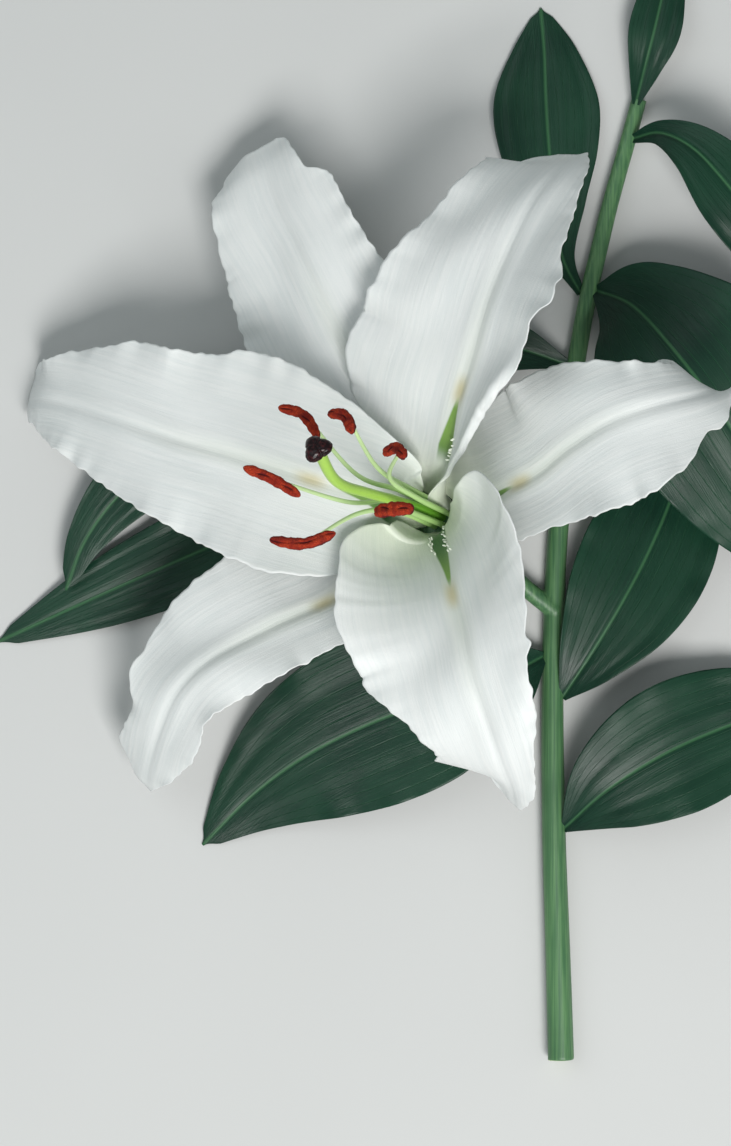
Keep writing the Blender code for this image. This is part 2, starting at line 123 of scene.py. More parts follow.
# Each stamen: its place on the ring, its anther's middle from the bloom's base, the way the anther points and
# bows, its length, half its width, and how far the filament sags aside.
STAMENS = {
    "left_high": (118, (-41, 28, 51), (0.68, -0.53, 0.50), (0.6, 0.9, 0), 17.5, 1.65, (-1, -3, 0)),
    "high": (62, (-29, 27.5, 58), (0.50, -0.42, 0.76), (0.5, 0.9, 0), 14.5, 1.75, (-0.5, -1, 0)),
    "right_high": (8, (-14, 18, 69), (0.44, -0.12, 0.88), (0.3, 0.9, 0), 13.5, 1.7, (-2, 0, 0)),
    "left": (172, (-49.5, 10, 51), (0.88, -0.45, 0.15), (0.1, 0.3, -0.3), 19, 1.7, (0.5, -4, 0)),
    "left_low": (232, (-40.5, -7.7, 60), (0.98, 0.10, 0.12), (0.1, -0.9, 0.1), 19.5, 1.8, (0, 0, 0)),
    "right_low": (297, (-14.5, 1.2, 72), (0.70, 0.05, 0.70), (0, 0.2, 0.4), 15.5, 2.1, (0, 0, 0)),
}
FILAMENT_BASE_RADIUS = 0.95
FILAMENT_TIP_RADIUS = 0.5
FILAMENT_SPREAD = 0.45
ANTHER_FLATNESS = 0.77
ANTHER_BOW = 1.6

PISTIL_LINE = [(-3, 1.2, 5.5), (-9.6, 3.6, 17.3), (-21.5, 6.4, 37.5), (-31, 9.6, 53.5)]
OVARY_RADIUS = 1.7
STYLE_RADIUS = 1.5
STIGMA_MIDDLE = (-36.4, 18.6, 67.6)
STIGMA_RADIUS = 3.8
STIGMA_FLATNESS = 0.7

# Each leaf: how far up the stem it grows, then its midrib's points to the tip, and the half-width at each.
LEAF_FOOT = 1.2
LEAVES = {
    "leaf_1_right_foot": [-67, (16, -54.5, 12, 14), (32.5, -44, 13, 20), (49.5, -36.5, 10, 19),
                          (66.5, -31, 6, 13), (82, -27.5, 0.4, 1.5)],
    "leaf_2_right_low": [-27, (10, -15, 8, 10), (20, 1.5, 9, 18), (29, 18.5, 7, 20), (36.5, 36.5, 4, 16),
                         (41.5, 55, 2, 9), (44, 67, 0.4, 1.5)],
    "leaf_3_left_low": [-14, (-17.5, -21, 11, 15), (-35.5, -27, 13, 24), (-55, -34, 11, 26),
                        (-75, -44, 8, 22), (-92, -56.5, 4, 13), (-107.5, -72, 0.4, 1.5)],
    "leaf_4_left": [50, (-17.5, 47, 6, 9), (-48, 39.5, 5, 14), (-78.5, 30, 4, 15), (-109, 17.5, 4, 14),
                    (-139.5, 4, 3, 10), (-170.5, -10, 0.4, 1.5)],
    "leaf_5_left_high": [74.5, (-17.5, 80.5, 7, 9), (-48, 76.5, 8, 13), (-78, 68, 8, 14),
                         (-108.5, 54, 7, 13), (-130, 37.5, 8, 10), (-142.5, 22, 7.5, 6), (-149, 6, 6, 1.5)],
    "leaf_6_right": [98, (23.5, 92, 14, 16), (35.5, 78, 22, 28), (49, 60, 23, 30), (62.5, 39, 17, 25),
                     (74, 18, 8, 14), (82, -3, 0.4, 1.5)],
    "leaf_7_up": [96, (2.5, 108, 2.5, 4), (0, 124.5, 2.5, 10), (-1.5, 140, 2.5, 15), (-2.5, 155.5, 2, 16),
                  (-3, 171, 1.5, 10), (-4, 184, 0.4, 1.5)],
    "leaf_8_right_top": [144, (32, 144.5, 14, 4), (42, 138.5, 21, 8), (53.5, 125.5, 23, 12),
                         (66, 111.5, 19, 12), (78, 97, 12, 8), (89.5, 82.5, 5, 1.5)],
    "leaf_9_tip": [154, (27.5, 165, 5, 5), (30.5, 177, 7, 8), (34, 192, 5, 6), (37, 206, 2, 1)],
}


def unit(v):
    v = np.asarray(v, float)
    return v / np.linalg.norm(v, axis=-1, keepdims=True)


def spline(points, count):
    """count rows at even spacing along a smooth (Catmull-Rom) curve through the given points. Columns past
    the first three ride along."""
    p = np.asarray(points, float)
    p = np.vstack([2 * p[0] - p[1], p, 2 * p[-1] - p[-2]])
    fine = []
    for a, b, c, d in zip(p, p[1:], p[2:], p[3:]):
        for s in np.linspace(0, 1, 24, endpoint=False):
            squared = (2 * a - 5 * b + 4 * c - d) * s**2
            cubed = (3 * b - a - 3 * c + d) * s**3
            fine.append(0.5 * (2 * b + (c - a) * s + squared + cubed))
    fine = np.array(fine + [p[-2]])
    run = np.concatenate([[0], np.cumsum(np.linalg.norm(np.diff(fine[:, :3], axis=0), axis=1))])
    even = np.linspace(0, run[-1], count)
    return np.column_stack([np.interp(even, run, fine[:, i]) for i in range(fine.shape[1])])


def across(axis):
    """Two directions at right angles to axis and to each other; azimuth 0 is the first, on the +X side."""
    first = unit(np.array([1.0, 0, 0]) - axis[0] * axis)
    return first, np.cross(axis, first)


AXIS = unit(FACING)
SIDE, OTHER_SIDE = across(AXIS)


def outward(azimuth):
    """The direction straight out from the bloom's axis at that azimuth."""
    a = math.radians(azimuth)
    return SIDE * math.cos(a) + OTHER_SIDE * math.sin(a)


# The photograph's frame: its size in pixels, the scale at the bloom's base, and how far above that the
# camera is.
PHOTO_WIDTH = 731
PHOTO_HEIGHT = 1146
MM_PER_PIXEL = 0.3
CAMERA_RISE = 1300.0
BLOOM_PIXEL = (441, 517)
FOCAL_PIXELS = CAMERA_RISE / MM_PER_PIXEL
CAMERA = BLOOM + np.array([
    (PHOTO_WIDTH / 2 - BLOOM_PIXEL[0]) * MM_PER_PIXEL,
    (BLOOM_PIXEL[1] - PHOTO_HEIGHT / 2) * MM_PER_PIXEL,
    CAMERA_RISE,
])

# Where each tepal's margins show, in pixels, from base to tip: on the side ahead (anticlockwise) and behind.
MARGINS = {
    "petal_left": dict(
        ahead=[(345, 573), (320, 577), (265, 572), (225, 556), (195, 541), (170, 527), (135, 507), (105, 487),
               (75, 465), (42, 437), (25, 415), (22, 405)],
        behind=[(403, 446), (375, 422), (350, 400), (320, 380), (290, 362), (248, 350), (218, 354),
                (175, 350), (135, 340), (100, 347), (70, 352), (40, 362), (27, 378), (22, 392)],
    ),
    "petal_upper": dict(
        ahead=[(400, 450), (372, 425), (352, 395), (347, 350), (355, 320), (388, 255), (440, 200), (490, 155),
               (510, 142), (530, 141), (572, 152)],
        behind=[(440, 484), (463, 453), (483, 417), (503, 390), (515, 375), (520, 350), (530, 320),
                (553, 300), (563, 275), (560, 255), (572, 215), (589, 170), (588, 150)],
    ),
    "petal_lower": dict(
        ahead=[(480, 472), (497, 488), (510, 517), (518, 545), (527, 600), (526, 635), (533, 645), (527, 655),
               (535, 720), (535, 757)],
        behind=[(341, 555), (335, 583), (336, 615), (345, 645), (365, 690), (405, 722), (437, 757)],
    ),
    "sepal_upper_left": dict(
        ahead=[(248, 350), (228, 290), (218, 250), (212, 200), (222, 190), (232, 165), (240, 150),
               (250, 146)],
        behind=[(383, 260), (350, 210), (337, 185), (328, 170), (303, 165), (298, 155), (281, 133),
                (262, 140)],
    ),
    "sepal_right": dict(
        ahead=[(500, 393), (540, 368), (560, 363), (600, 361), (640, 362), (685, 362), (715, 365),
               (731, 392)],
        behind=[(518, 541), (545, 530), (600, 515), (660, 490), (692, 462), (705, 433), (727, 425),
                (731, 400)],
    ),
    "sepal_lower_left": dict(
        ahead=[(335, 647), (285, 675), (235, 700), (205, 725), (195, 757)],
        behind=[(222, 560), (190, 585), (160, 615), (132, 670), (134, 700), (118, 740), (125, 757)],
    ),
}


def to_pixels(points):
    """Where points land in the photograph's frame."""
    depth = CAMERA[2] - points[..., 2]
    x = PHOTO_WIDTH / 2 + (points[..., 0] - CAMERA[0]) * FOCAL_PIXELS / depth
    y = PHOTO_HEIGHT / 2 - (points[..., 1] - CAMERA[1]) * FOCAL_PIXELS / depth
    return np.stack([x, y], -1)


def reach_of_ray(start, toward, line):
    """How far along start-to-toward (1 at toward) a ray meets a polyline, or None."""
    d = toward - start
    best = None
    for a, b in zip(line, line[1:]):
        e = np.subtract(b, a)
        cross = d[0] * e[1] - d[1] * e[0]
        if abs(cross) < 1e-9:
            continue
        gap = np.subtract(a, start)
        t = (gap[0] * e[1] - gap[1] * e[0]) / cross
        s = (gap[0] * d[1] - gap[1] * d[0]) / cross
        on_line = -0.02 <= s <= 1 + 0.02
        if t > 0.4 and on_line and (best is None or abs(t - 1) < abs(best - 1)):
            best = t
    return best


def waves(x, lengths, seed):
    """A smooth wobble about zero, near 1 high, made of waves of the given lengths."""
    turns = np.random.default_rng(seed).uniform(0, 2 * math.pi, len(lengths))
    total = sum(np.sin(2 * math.pi * x / length + turn) for length, turn in zip(lengths, turns))
    return total / math.sqrt(len(lengths))


def soften(rows, span):
    """A running mean over rows, as long as they are."""
    ends = ((span // 2, span // 2), (0, 0))
    padded = np.pad(rows, ends, mode="edge")
    return np.array([np.convolve(column, np.ones(span) / span, mode="valid") for column in padded.T]).T


def smooth(x, low, high):
    """0 up to low, 1 from high on, and an easy slope between."""
    t = np.clip((np.asarray(x, float) - low) / (high - low), 0, 1)
    return t * t * (3 - 2 * t)


def between(x, start, full, fade, end):
    """0 outside start and end, and 1 from full to fade."""
    return smooth(x, start, full) * (1 - smooth(x, fade, end))


def bell(x, width):
    """1 at zero, and near 0 from twice the width on."""
    return np.exp(-((x / width) ** 2))


def turns_round(sides):
    """The angles of a ring's points."""
    return 2 * math.pi * np.arange(sides) / sides


def circle(first, second, sides):
    """Points round a circle of radius 1 that lies along two directions."""
    turns = turns_round(sides)
    return np.outer(np.cos(turns), first) + np.outer(np.sin(turns), second)


def link(name, mesh, material, slot, *nodes):
    """A shown piece that rides on the part's one body and stands for the given solids."""
    made = bpy.data.objects.new(name, mesh)
    bpy.context.scene.collection.objects.link(made)
    mesh.materials.append(material)
    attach(made, "root")
    if nodes:
        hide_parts(*nodes)
    return made


def closed_mesh(name, points, faces, values=None):
    """A smooth-shaded closed mesh from points in millimetres, with named values kept at its points."""
    mesh = bpy.data.meshes.new(name)
    mesh.from_pydata((np.asarray(points, float) - ORIGIN) * MM, [], faces)
    for key, numbers in (values or {}).items():
        kept = mesh.attributes.new(key, "FLOAT", "POINT")
        kept.data.foreach_set("value", np.asarray(numbers, np.float32).ravel())
    tidy = bmesh.new()
    tidy.from_mesh(mesh)
    bmesh.ops.recalc_face_normals(tidy, faces=tidy.faces)
    tidy.to_mesh(mesh)
    tidy.free()
    mesh.shade_smooth()
    return mesh


def blade_mesh(name, front, back, values):
    """Two grids of points, one on each face of a blade, closed round the rim."""
    rows, columns = front.shape[:2]
    count = rows * columns
    index = np.arange(count).reshape(rows, columns)
    quads = np.stack([index[:-1, :-1], index[1:, :-1], index[1:, 1:], index[:-1, 1:]], -1).reshape(-1, 4)
    rim = [*index[:-1, 0], *index[-1, :-1], *index[:0:-1, -1], *index[0, :0:-1]]
    faces = quads.tolist() + (quads[:, ::-1] + count).tolist()
    faces += [(p, p + count, q + count, q) for p, q in zip(rim, rim[1:] + rim[:1])]
    points = np.vstack([front.reshape(-1, 3), back.reshape(-1, 3)])
    return closed_mesh(name, points, faces, {key: np.tile(v.ravel(), 2) for key, v in values.items()})


def tube_faces(levels, sides, start=0):
    """The faces of a closed tube whose rings of points follow each other from start."""
    end = start + levels * sides
    faces = [tuple(range(start, start + sides)), tuple(range(end - sides, end))]
    for low in range(start, end - sides, sides):
        for j in range(sides):
            a, b = low + j, low + (j + 1) % sides
            faces.append((a, b, b + sides, a + sides))
    return faces


def tube_mesh(name, rounds, values=None):
    """Rings of points joined into a closed tube."""
    return closed_mesh(name, np.vstack(rounds), tube_faces(len(rounds), len(rounds[0])), values)


# The mix node has a set of sockets for each kind of value; these are its colour ones.
MIX_FIRST_COLOUR = 6
MIX_SECOND_COLOUR = 7
MIX_COLOUR_OUT = 2


class Paint:
    """A material's nodes, made by short calls."""

    def __init__(self, name):
        self.material = bpy.data.materials.new(name)
        self.material.use_nodes = True
        self.tree = self.material.node_tree
        self.surface = self.tree.nodes["Principled BSDF"]

    def node(self, kind, inputs=None, **settings):
        made = self.tree.nodes.new(kind)
        for key, value in settings.items():
            setattr(made, key, value)
        for key, value in (inputs or {}).items():
            self.put(value, made.inputs[key])
        return made

    def put(self, value, socket):
        if isinstance(value, bpy.types.NodeSocket):
            self.tree.links.new(value, socket)
        elif isinstance(value, tuple) and socket.type == "RGBA":
            socket.default_value = (*value, 1)
        else:
            socket.default_value = value

    def math(self, operation, a, b=0.0):
        return self.node("ShaderNodeMath", {0: a, 1: b}, operation=operation).outputs[0]

    def times(self, a, b):
        return self.math("MULTIPLY", a, b)

    def off(self, value, centre):
        """How far a value is from a centre."""
        return self.math("ABSOLUTE", self.math("SUBTRACT", value, float(centre)))

    def kept(self, name):
        return self.node("ShaderNodeAttribute", attribute_name=name).outputs["Fac"]

    def ramp(self, value, low, high):
        limits = {"Value": value, "From Min": low, "From Max": high}
        ranged = self.node("ShaderNodeMapRange", limits, interpolation_type="SMOOTHSTEP")
        return ranged.outputs["Result"]

    def mix(self, share, a, b):
        made = self.node("ShaderNodeMix", data_type="RGBA")
        self.put(share, made.inputs["Factor"])
        self.put(a, made.inputs[MIX_FIRST_COLOUR])
        self.put(b, made.inputs[MIX_SECOND_COLOUR])
        return made.outputs[MIX_COLOUR_OUT]

    def add(self, colour, share, strength, over):
        """A colour laid over another where share says, as strongly as strength says."""
        return self.mix(self.times(share, strength), over, colour)

    def noise(self, vector, scale, detail=2.0, rough=0.5):
        inputs = {"Vector": vector, "Scale": scale, "Detail": detail, "Roughness": rough}
        return self.node("ShaderNodeTexNoise", inputs).outputs["Fac"]

    def vector(self, x, y, z=0.0):
        return self.node("ShaderNodeCombineXYZ", {0: x, 1: y, 2: z}).outputs[0]

    def drawn_out(self, side, run, fine, long, detail, rough=0.5):
        """Noise drawn out lengthwise, with so many grains to a millimetre across and along."""
        return self.noise(self.vector(self.times(side, fine), self.times(run, long)), 1.0, detail, rough)

    def place(self):
        return self.node("ShaderNodeTexCoord").outputs["Object"]

    def bump(self, height, distance_mm, under=None):
        made = self.node("ShaderNodeBump", {"Height": height, "Distance": distance_mm * MM, "Strength": 1.0})
        if under is not None:
            self.put(under, made.inputs["Normal"])
        return made.outputs[0]

    def finish(self, **inputs):
        for key, value in inputs.items():
            self.put(value, self.surface.inputs[key.replace("_", " ")])
        return self.material


# Colours in linear light. A pair is what a tissue varies between.
WHITES = (0.80, 0.83, 0.825), (0.87, 0.885, 0.875)
WHITE_CLOUD = (0.92, 0.925, 0.92)
WHITE_VEIN = (0.70, 0.75, 0.76)
THROAT_GREEN = (0.58, 0.67, 0.40)
GLOW_GREEN = (0.70, 0.77, 0.52)
TINT_BROWN = (0.60, 0.50, 0.20)
# The nectary's own green, and a darker green that stands for painted shade towards the throat.
NECTARY_GREEN_AND_THROAT_SHADE = (0.04, 0.16, 0.035), (0.20, 0.38, 0.045)
PAPILLA_PALE = (0.86, 0.90, 0.78)
LEAF_GREENS = (0.003, 0.024, 0.014), (0.007, 0.042, 0.022)
LEAF_STREAK = (0.012, 0.062, 0.032)
LEAF_VEIN = (0.035, 0.125, 0.06)
LEAF_RIB = (0.05, 0.16, 0.065)
STEM_GREENS = (0.040, 0.125, 0.052), (0.10, 0.225, 0.09)
STEM_PATCH = (0.03, 0.10, 0.04)
PITH = (0.50, 0.58, 0.34)
FILAMENT_GREENS = (0.38, 0.60, 0.20), (0.58, 0.75, 0.38)
PISTIL_GREENS = (0.14, 0.36, 0.03), (0.35, 0.57, 0.08)
POLLEN_REDS = (0.33, 0.026, 0.010), (0.56, 0.062, 0.018)
POLLEN_BETWEEN = (0.16, 0.012, 0.010)
POLLEN_PATCH = (0.11, 0.010, 0.010)
# Painted shade: a dark maroon for the side of an anther turned away from the lamps.
ANTHER_UNDERSIDE_SHADE = (0.075, 0.008, 0.011)
ANTHER_GROOVE = (0.060, 0.007, 0.010)
STIGMA_PLUMS = (0.008, 0.002, 0.003), (0.060, 0.012, 0.014)
FLOOR_GREYS = (0.53, 0.535, 0.53), (0.56, 0.565, 0.56)


def petal_paint(name, nectary_from, nectary_to, tint_at, groove_at):
    """White tissue with fine lengthwise veins, a green nectary in its groove darkened towards the throat as
    painted shade, and a greenish throat.
    """
    p = Paint(name)
    along, run, side = (p.kept(k) for k in ("along", "run", "side"))
    beside = p.off(side, groove_at)
    streaks = p.drawn_out(side, run, 0.9, 0.035, 3.0, 0.6)
    fine = p.drawn_out(side, run, 3.2, 0.22, 2.0)
    cells = p.drawn_out(side, run, 4.5, 2.8, 1.0)
    clouds = p.noise(p.place(), 30.0)
    white = p.mix(p.ramp(streaks, 0.3, 0.7), *WHITES)
    white = p.add(WHITE_CLOUD, p.ramp(clouds, 0.35, 0.7), 0.3, white)
    white = p.add(WHITE_VEIN, p.ramp(fine, 0.5, 0.8), 0.12, white)
    white = p.add(THROAT_GREEN, p.ramp(run, 26.0, 4.0), 0.5, white)
    glow = p.times(p.ramp(beside, 6.0, 0.0), p.ramp(along, 0.8, 0.2))
    white = p.add(GLOW_GREEN, glow, 0.22, white)
    tint = p.times(p.ramp(beside, 3.4, 0.2), p.ramp(p.off(run, tint_at), 7.0, 0.5))
    white = p.add(TINT_BROWN, tint, 0.6, white)
    limits = {"From Min": float(nectary_from), "From Max": float(nectary_to), "To Min": 3.1, "To Max": 0.4}
    half = p.node("ShaderNodeMapRange", {"Value": run, **limits}).outputs["Result"]
    outside = p.math("SUBTRACT", beside, half)
    starts = p.ramp(run, nectary_from - 8.0, nectary_from)
    stops = p.ramp(run, nectary_to + 1.0, nectary_to - 4.0)
    band = p.times(p.ramp(outside, 0.35, -0.35), p.times(stops, starts))
    # The nectary's green darkens towards the throat; that darkening is painted shade, not the nectary's own
    # colour.
    nectary_and_shade = p.mix(p.ramp(run, 12.0, 30.0), *NECTARY_GREEN_AND_THROAT_SHADE)
    white = p.add(nectary_and_shade, band, 0.94, white)
    normal = p.bump(streaks, 0.13)
    normal = p.bump(fine, 0.03, under=normal)
    normal = p.bump(cells, 0.05, under=normal)
    rough = p.math("ADD", 0.36, p.times(cells, 0.2))
    skin = dict(Specular_IOR_Level=0.5, Sheen_Weight=0.15)
    material = p.finish(Base_Color=white, Normal=normal, Roughness=rough, **skin)
    through = p.node("ShaderNodeBsdfTranslucent", {"Color": white, "Normal": normal})
    both = p.node("ShaderNodeMixShader", {0: 0.22, 1: p.surface.outputs[0], 2: through.outputs[0]})
    p.tree.links.new(both.outputs[0], p.tree.nodes["Material Output"].inputs["Surface"])
    return material


def leaf_paint():
    """Dark waxy green with pale lengthwise veins."""
    p = Paint("leaf")
    over, run, side = (p.kept(k) for k in ("across", "run", "side"))
    bent = p.math("ADD", over, p.times(p.noise(p.place(), 18.0, 1.0), 0.12))
    lines = p.math("ABSOLUTE", p.math("SINE", p.times(bent, 6.5 * math.pi)))
    vein = p.ramp(lines, 0.16, 0.0)
    fine = p.drawn_out(side, run, 3.0, 0.04, 3.0, 0.6)
    patches = p.noise(p.place(), 35.0, 4.0)
    green = p.mix(p.ramp(patches, 0.3, 0.7), *LEAF_GREENS)
    green = p.add(LEAF_STREAK, p.ramp(fine, 0.45, 0.75), 0.4, green)
    green = p.add(LEAF_VEIN, vein, 0.28, green)
    rib = p.ramp(p.math("ABSOLUTE", side), 0.9, 0.1)
    green = p.add(LEAF_RIB, rib, 0.6, green)
    normal = p.bump(p.math("SUBTRACT", 1.0, vein), 0.10)
    normal = p.bump(fine, 0.12, under=normal)
    rough = p.math("ADD", 0.30, p.times(patches, 0.16))
    waxy = dict(Specular_IOR_Level=0.25, Coat_Weight=0.05, Coat_Roughness=0.25)
    return p.finish(Base_Color=green, Normal=normal, Roughness=rough, **waxy)


def stem_paint():
    """Fresh green, streaked lengthwise, with darker patches, and pale pith at the cut."""
    p = Paint("stem")
    place = p.place()
    x, y, z = p.node("ShaderNodeSeparateXYZ", {0: place}).outputs
    stretched = p.vector(p.times(x, 1500.0), p.times(y, 25.0), p.times(z, 1500.0))
    streaks = p.noise(stretched, 1.0, 3.0, 0.6)
    patches = p.noise(place, 60.0, 3.0)
    green = p.mix(p.ramp(streaks, 0.3, 0.7), *STEM_GREENS)
    green = p.add(STEM_PATCH, p.ramp(patches, 0.45, 0.75), 0.4, green)
    cut = p.ramp(y, (STEM_FOOT_Y + 0.25) * MM, (STEM_FOOT_Y + 0.05) * MM)
    green = p.mix(cut, green, PITH)
    return p.finish(Base_Color=green, Normal=p.bump(streaks, 0.10), Roughness=0.42)


def plain_tissue(name, low, high, roughness, turn=(0.0, 1.0)):
    """Green tissue that shades from one colour to another along its length."""
    p = Paint(name)
    along = p.kept("along")
    grain = p.noise(p.place(), 900.0, 3.0)
    colour = p.mix(p.ramp(along, *turn), low, high)
    colour = p.add(low, p.ramp(grain, 0.4, 0.7), 0.1, colour)
    return p.finish(Base_Color=colour, Normal=p.bump(grain, 0.03), Roughness=roughness, Coat_Weight=0.15)


def anther_paint():
    """Rust-red pollen on the lobes, maroon down in the grooves, and painted shade underneath."""
    p = Paint("pollen")
    depth, under = p.kept("depth"), p.kept("under")
    grains = p.node("ShaderNodeTexVoronoi", {"Vector": p.place(), "Scale": 2600.0}).outputs["Distance"]
    patches = p.noise(p.place(), 420.0, 3.0)
    colour = p.mix(p.ramp(patches, 0.35, 0.65), *POLLEN_REDS)
    colour = p.add(POLLEN_BETWEEN, p.ramp(grains, 0.2, 0.55), 0.55, colour)
    colour = p.add(POLLEN_PATCH, p.ramp(p.noise(p.place(), 260.0, 3.0), 0.50, 0.68), 0.6, colour)
    # Painted shade: the underside, turned away from the lamps, and the ends go dark maroon.
    colour = p.add(ANTHER_UNDERSIDE_SHADE, p.ramp(under, 0.38, 0.72), 0.9, colour)
    colour = p.add(ANTHER_GROOVE, p.ramp(depth, 0.3, 0.75), 0.9, colour)
    return p.finish(Base_Color=colour, Normal=p.bump(grains, 0.24), Roughness=0.85, Specular_IOR_Level=0.15)


def stigma_paint():
    """Near-black plum, wet on its lobes."""
    p = Paint("stigma")
    lumps = p.noise(p.place(), 1100.0, 3.0)
    colour = p.mix(p.ramp(lumps, 0.45, 0.75), *STIGMA_PLUMS)
    wet = dict(Coat_Weight=0.3, Coat_Roughness=0.12, Specular_IOR_Level=0.12)
    return p.finish(Base_Color=colour, Normal=p.bump(lumps, 0.2), Roughness=0.4, **wet)


# How finely the tepals are made.
ROWS = 200
COLUMNS = 72
PROFILE_STEPS = 41

# Over how many rows the way aside and the widths are evened out.
ASIDE_SPAN = 25
WIDTH_SPAN = 13

# Where across a side a rolled margin starts to turn back, and where it is full.
LIP_START = 0.74
LIP_FULL = 0.94

# How the widths are drawn to the photograph: from which share of the length, within which limits, over how
# much of the length the change eases in, and over how many rows it is evened out.
FIT_ROUNDS = 3
FIT_FROM = 0.12
FIT_LIMITS = (0.75, 1.3)
FIT_EASE = 0.12
FIT_SPAN = 7

# The relief on a tepal: where it starts past the throat, the waves of its sides, the nicks and frills of its
# margins, its broad folds, the groove along it and the ridges beside that, its thickness and its keel.
PAST_THROAT = (0.12, 0.35)
TEPAL_WAVE = 1.1
WAVE_LONG = 34.0
WAVE_SHORT = 21.0
SIDE_TURN = 1.7
MARGIN_NICK = 0.26
NICK_LENGTHS = (9.5, 6.1, 3.9)
FRILL = 0.5
FRILL_LENGTHS = (17.0, 11.5, 8.0)
SWELL = 0.85
SWELL_LENGTHS = (61.0, 43.0, 31.0, 24.0)
GROOVE_DEPTH = 0.55
GROOVE_WIDTH = 1.5
RIDGE_HEIGHT = 0.2
RIDGE_ASIDE = 3.6
RIDGE_WIDTH = 1.8
SKIN = 0.7
TEPAL_KEEL = (0.7, 1.6)

# A margin that rolls back: its side (0 ahead, 1 behind), where along the tepal the roll starts, is full,
# fades and ends, and its angle.
ROLLED = {
    "petal_upper": (1, 5, 12, 46, 64, 115),
}
# A margin drawn over at the throat: its side, where along the tepal the pull starts, is full, fades and ends,
# and how far it goes.
PULLS = {
    "petal_upper": (1, 1, 5, 9, 19, (-5.5, 1.0, 0.0)),
    "petal_lower": (1, 3, 9, 13, 28, (-0.5, 4.0, 0.0)),
    "sepal_right": (0, 1, 4, 14, 26, (-4.0, 0.0, 0.0)),
}
# Where along the midrib each tepal's green nectary starts and ends and its yellow-brown tint is centred, and
# how far the groove runs to the side ahead of the midrib.
# The nectary's green darkens towards the throat, as painted shade.
MARKINGS = {
    "petal_left": (14, 34, 42, 3.2),
    "petal_upper": (24, 41, 43, 0),
    "petal_lower": (10, 34, 37, 0),
    "sepal_upper_left": (0, 8, -40, 0),
    "sepal_right": (0, 28, 31, 0),
    "sepal_lower_left": (0, 14, 40, 0),
}
# Rows of papillae: from and to along the midrib, how far beside it, how scattered, and how many.
PAPILLAE = {
    "petal_upper": [(21, 29, -2.7, 0.6, 10)],
    "petal_lower": [(8, 20, 2.6, 0.5, 12), (8, 17, -2.6, 0.6, 10)],
}
# A papilla's heights and radii, from its foot in the skin to its tip.
PAPILLA_SHAPE = [(-0.25, 0.3), (0.2, 0.3), (0.6, 0.27), (0.95, 0.2), (1.1, 0.08)]
PAPILLA_SIDES = 8


def profile(width, curl, lip, shares):
    """How far aside and up a side of a blade has come at shares of its half-width, for each row. The side
    curls up by curl and its margin rolls back by lip, both in degrees."""
    fine = np.linspace(0, 1, PROFILE_STEPS)
    rolled = np.radians(lip)[:, None] * smooth(fine, LIP_START, LIP_FULL)
    angle = np.radians(curl)[:, None] * fine - rolled
    found = []
    for slope in (np.cos(angle), np.sin(angle)):
        steps = (slope[:, 1:] + slope[:, :-1]) / 2 * fine[1]
        run = np.pad(np.cumsum(steps, axis=1), ((0, 0), (1, 0))) * width[:, None]
        found.append(np.array([np.interp(shares, fine, line) for line in run]))
    return found


def fitted_widths(rows, aside, face, lips, margins):
    """Half-widths of both sides, drawn to where the photograph shows the margins."""
    middle = rows[:, :3]
    share = np.linspace(0, 1, len(rows))
    widths = []
    for side, (sign, line) in enumerate(((1, margins["ahead"]), (-1, margins["behind"]))):
        width = rows[:, 3 + side].copy()
        for _ in range(FIT_ROUNDS):
            reach, lift = profile(width, rows[:, 5 + side], lips[side], [1.0])
            start = to_pixels(middle)
            toward = to_pixels(middle + sign * aside * reach + face * lift)
            found = [reach_of_ray(s, t, line) for s, t in zip(start, toward)]
            known = [i for i, f in enumerate(found) if f is not None and share[i] > FIT_FROM]
            scale = np.interp(range(len(rows)), known, [np.clip(found[i], *FIT_LIMITS) for i in known])
            first, last = known[0], known[-1]
            easing = smooth(share[:first], share[first] - FIT_EASE, share[first])
            scale[:first] = 1 + (scale[first] - 1) * easing
            if last < len(rows) - 3:
                fading = 1 - smooth(share[last:], share[last], min(1, share[last] + 0.15))
                scale[last:] = 1 + (scale[last] - 1) * fading
            width = width * soften(scale[:, None], FIT_SPAN)[:, 0]
        widths.append(width)
    return widths


def swell(run, side, seed):
    """Broad soft folds over a blade, near 1 high, mostly along it."""
    rng = np.random.default_rng(seed)
    total = np.zeros(np.broadcast(run, side).shape)
    for length in SWELL_LENGTHS:
        heading = rng.uniform(0.5, 1.5)
        turn = rng.uniform(0, 2 * math.pi)
        total += np.sin(2 * math.pi * (run * math.cos(heading) + side * math.sin(heading)) / length + turn)
    return total / math.sqrt(len(SWELL_LENGTHS))


def ripple(run, turn):
    """The waves of a blade's side along its length."""
    short = np.sin(2 * math.pi * run / WAVE_SHORT + 2 * turn)
    return np.sin(2 * math.pi * run / WAVE_LONG + turn) + 0.6 * short


def open_part(share):
    """How open a blade is: 0 at its foot and tip, 1 between them."""
    return np.sin(math.pi * np.clip(share * 1.15 - 0.12, 0, 1)) ** 0.7


def shares_and_run(middle):
    """How far along evenly spaced rows are, as a share of the length and in millimetres."""
    share = np.linspace(0, 1, len(middle))
    return share, share * np.linalg.norm(np.diff(middle, axis=0), axis=1).sum()


def keel(side, share, height, width):
    """The midrib's height on a blade's underside, which fades over the outer half of its length."""
    return height * bell(side, width) * (1 - smooth(share, 0.5, 1))[:, None]


def blade_values(share, us, run, side):
    """What the paints read at the points of a blade."""
    return {
        "along": np.broadcast_to(share[:, None], side.shape),
        "across": np.broadcast_to(us[None, :], side.shape),
        "run": np.broadcast_to(run[:, None], side.shape),
        "side": side,
    }


